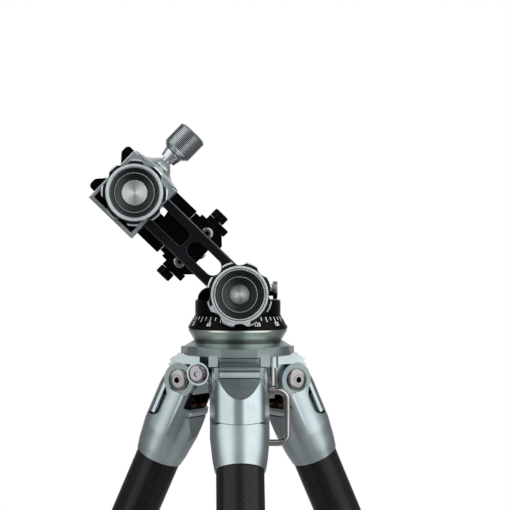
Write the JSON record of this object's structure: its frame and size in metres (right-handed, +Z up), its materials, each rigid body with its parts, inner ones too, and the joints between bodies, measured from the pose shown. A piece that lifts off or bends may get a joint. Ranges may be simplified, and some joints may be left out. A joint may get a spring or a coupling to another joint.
{
  "type": "equatorial mount",
  "caption": "Tilting mount head with a graduated panning base, lobed locking knobs and a dovetail plate clamp, on a stand of telescopic carbon legs.",
  "frame": {"origin": "mouth of the centre thread under the shoulder, on the pan axis", "axes": "+Z up along the pan axis, -Y towards the front leg, the arm leans towards -X"},
  "size_m": [0.4604, 0.4024, 0.6282],
  "materials": {
    "grey_anodised": "satin anodised",
    "black_anodised": "satin black anodised",
    "light_grip": "fine turned",
    "spun_disc": "spun",
    "steel": "polished steel",
    "moulded_knob": "matte black",
    "carbon_tube": "woven carbon in clear resin",
    "lock_rubber": "ribbed rubber",
    "foot_rubber": "matte rubber"
  },
  "bodies": {
    "base": {"shoulder": "grey_anodised", "mounting_stud": "steel", "pivot_bolts": "steel", "accessory_plug": "steel", "bail_post": "steel", "base_ring": "grey_anodised", "scale_ring": "black_anodised", "pan_spindle": "steel", "spindle_nut": "steel"},
    "pan": {"pan_drum": "black_anodised", "pan_yoke": "black_anodised", "lower_axle": "steel"},
    "arm": {"lower_arm": "black_anodised", "arm_screws": "steel", "upper_housing": "grey_anodised", "flange_boss": "grey_anodised", "upper_axle": "steel"},
    "lower_knob": {"lower_knob": "grey_anodised", "lower_knob_disc": "spun_disc"},
    "upper_knob": {"upper_knob": "grey_anodised", "upper_knob_disc": "spun_disc"},
    "grip": {"ribbed_knob": "light_grip"},
    "pan_lock": {"pan_lock_knob": "black_anodised"},
    "cradle": {"cradle_arm": "black_anodised"},
    "carriage": {"carriage": "black_anodised", "carriage_screws": "steel", "clamp_base": "black_anodised"},
    "thumb_right": {"thumb_knob_right": "steel"},
    "thumb_left": {"thumb_knob_left": "steel"},
    "jaw": {"clamp_jaw": "black_anodised"},
    "clamp_knob": {"clamp_knob": "moulded_knob"},
    "bail": {"hanging_bail": "steel"},
    "leg_front": {"leg_casting_front": "grey_anodised", "upper_tube_front": "carbon_tube"},
    "middle_front": {"middle_tube_front": "carbon_tube"},
    "lower_front": {"lower_tube_front": "carbon_tube", "foot_front": "foot_rubber"},
    "upper_lock_front": {"upper_lock_front": "lock_rubber"},
    "lower_lock_front": {"lower_lock_front": "lock_rubber"},
    "tab_front": {"angle_tab_front": "grey_anodised"},
    "leg_left": {"leg_casting_left": "grey_anodised", "upper_tube_left": "carbon_tube"},
    "middle_left": {"middle_tube_left": "carbon_tube"},
    "lower_left": {"lower_tube_left": "carbon_tube", "foot_left": "foot_rubber"},
    "upper_lock_left": {"upper_lock_left": "lock_rubber"},
    "lower_lock_left": {"lower_lock_left": "lock_rubber"},
    "tab_left": {"angle_tab_left": "grey_anodised"},
    "leg_right": {"leg_casting_right": "grey_anodised", "upper_tube_right": "carbon_tube"},
    "middle_right": {"middle_tube_right": "carbon_tube"},
    "lower_right": {"lower_tube_right": "carbon_tube", "foot_right": "foot_rubber"},
    "upper_lock_right": {"upper_lock_right": "lock_rubber"},
    "lower_lock_right": {"lower_lock_right": "lock_rubber"},
    "tab_right": {"angle_tab_right": "grey_anodised"}
  },
  "joints": [
    {"name": "splay_front", "type": "hinge", "parent": "base", "child": "leg_front", "pos_m": [0, -0.037, 0.0115], "axis": [-1, 0, 0], "range_deg": [-26, 0]},
    {"name": "splay_left", "type": "hinge", "parent": "base", "child": "leg_left", "pos_m": [-0.03204, 0.0185, 0.0115], "axis": [0.5, 0.866, 0], "range_deg": [-26, 0]},
    {"name": "splay_right", "type": "hinge", "parent": "base", "child": "leg_right", "pos_m": [0.03204, 0.0185, 0.0115], "axis": [0.5, -0.866, 0], "range_deg": [-26, 0]},
    {"name": "pan_turn", "type": "hinge", "parent": "base", "child": "pan", "pos_m": [0, 0, 0.06], "axis": [0, 0, 1], "continuous": true},
    {"name": "arm_fold", "type": "hinge", "parent": "pan", "child": "arm", "pos_m": [0, 0, 0.0725], "axis": [0, 1, 0], "range_deg": [-34, 90]},
    {"name": "cradle_tilt", "type": "hinge", "parent": "arm", "child": "cradle", "pos_m": [-0.07038, -0.0104, 0.1407], "axis": [0, 1, 0], "range_deg": [-35, 100]},
    {"name": "carriage_shift", "type": "slide", "parent": "cradle", "child": "carriage", "axis": [0.7181, 0, -0.6959], "range_m": [0, 0.007]},
    {"name": "middle_reach_front", "type": "slide", "parent": "leg_front", "child": "middle_front", "axis": [0, -0.4384, -0.8988], "range_m": [0, 0.29]},
    {"name": "lower_reach_front", "type": "slide", "parent": "middle_front", "child": "lower_front", "axis": [0, -0.4384, -0.8988], "range_m": [0, 0.32]},
    {"name": "middle_reach_left", "type": "slide", "parent": "leg_left", "child": "middle_left", "axis": [-0.3796, 0.2192, -0.8988], "range_m": [0, 0.29]},
    {"name": "lower_reach_left", "type": "slide", "parent": "middle_left", "child": "lower_left", "axis": [-0.3796, 0.2192, -0.8988], "range_m": [0, 0.32]},
    {"name": "middle_reach_right", "type": "slide", "parent": "leg_right", "child": "middle_right", "axis": [0.3796, 0.2192, -0.8988], "range_m": [0, 0.29]},
    {"name": "lower_reach_right", "type": "slide", "parent": "middle_right", "child": "lower_right", "axis": [0.3796, 0.2192, -0.8988], "range_m": [0, 0.32]},
    {"name": "bail_swing", "type": "hinge", "parent": "base", "child": "bail", "pos_m": [0.023, -0.015, 0.0049], "axis": [-1, 0, 0], "range_deg": [-12, 20]},
    {"name": "jaw_shift", "type": "slide", "parent": "carriage", "child": "jaw", "axis": [0, 1, 0], "range_m": [0, 0.006]},
    {"name": "jaw_screw_turn", "type": "hinge", "parent": "jaw", "child": "clamp_knob", "pos_m": [-0.02783, 0.055, 0.10212], "axis": [0, 1, 0], "range_deg": [0, 1728]},
    {"name": "upper_knob_turn", "type": "hinge", "parent": "arm", "child": "upper_knob", "pos_m": [-0.07038, -0.045, 0.1407], "axis": [0, -1, 0], "continuous": true},
    {"name": "lower_knob_turn", "type": "hinge", "parent": "pan", "child": "lower_knob", "pos_m": [0, -0.045, 0.0725], "axis": [0, -1, 0], "continuous": true},
    {"name": "grip_turn", "type": "hinge", "parent": "arm", "child": "grip", "pos_m": [-0.03942, -0.02635, 0.17336], "axis": [0.6959, 0, 0.7181], "continuous": true},
    {"name": "pan_lock_turn", "type": "hinge", "parent": "pan", "child": "pan_lock", "pos_m": [0.024, 0, 0.0745], "axis": [1, 0, 0], "range_deg": [0, 180]},
    {"name": "thumb_right_turn", "type": "hinge", "parent": "carriage", "child": "thumb_right", "pos_m": [-0.01369, -0.0104, 0.12476], "axis": [0.6959, 0, 0.7181], "range_deg": [0, 180]},
    {"name": "thumb_left_turn", "type": "hinge", "parent": "carriage", "child": "thumb_left", "pos_m": [-0.04988, -0.0104, 0.08742], "axis": [-0.6959, 0, -0.7181], "range_deg": [0, 180]},
    {"name": "tab_pull_front", "type": "slide", "parent": "leg_front", "child": "tab_front", "axis": [0, -0.8988, 0.4384], "range_m": [0, 0.005], "stiffness_N_per_m": 400},
    {"name": "upper_lock_turn_front", "type": "hinge", "parent": "leg_front", "child": "upper_lock_front", "pos_m": [0, -0.21585, -0.35521], "axis": [0, -0.4384, -0.8988], "range_deg": [0, 90]},
    {"name": "lower_lock_turn_front", "type": "hinge", "parent": "middle_front", "child": "lower_lock_front", "pos_m": [0, -0.23383, -0.39206], "axis": [0, -0.4384, -0.8988], "range_deg": [0, 90]},
    {"name": "tab_pull_left", "type": "slide", "parent": "leg_left", "child": "tab_left", "axis": [-0.7784, 0.4494, 0.4384], "range_m": [0, 0.005], "stiffness_N_per_m": 400},
    {"name": "upper_lock_turn_left", "type": "hinge", "parent": "leg_left", "child": "upper_lock_left", "pos_m": [-0.18694, 0.10793, -0.35521], "axis": [-0.3796, 0.2192, -0.8988], "range_deg": [0, 90]},
    {"name": "lower_lock_turn_left", "type": "hinge", "parent": "middle_left", "child": "lower_lock_left", "pos_m": [-0.2025, 0.11691, -0.39206], "axis": [-0.3796, 0.2192, -0.8988], "range_deg": [0, 90]},
    {"name": "tab_pull_right", "type": "slide", "parent": "leg_right", "child": "tab_right", "axis": [0.7784, 0.4494, 0.4384], "range_m": [0, 0.005], "stiffness_N_per_m": 400},
    {"name": "upper_lock_turn_right", "type": "hinge", "parent": "leg_right", "child": "upper_lock_right", "pos_m": [0.18694, 0.10793, -0.35521], "axis": [0.3796, 0.2192, -0.8988], "range_deg": [0, 90]},
    {"name": "lower_lock_turn_right", "type": "hinge", "parent": "middle_right", "child": "lower_lock_right", "pos_m": [0.2025, 0.11691, -0.39206], "axis": [0.3796, 0.2192, -0.8988], "range_deg": [0, 90]}
  ],
  "couplings": [
    {"joint": "jaw_screw_turn", "follows": "jaw_shift", "rad_per_m": 5026.5}
  ]
}
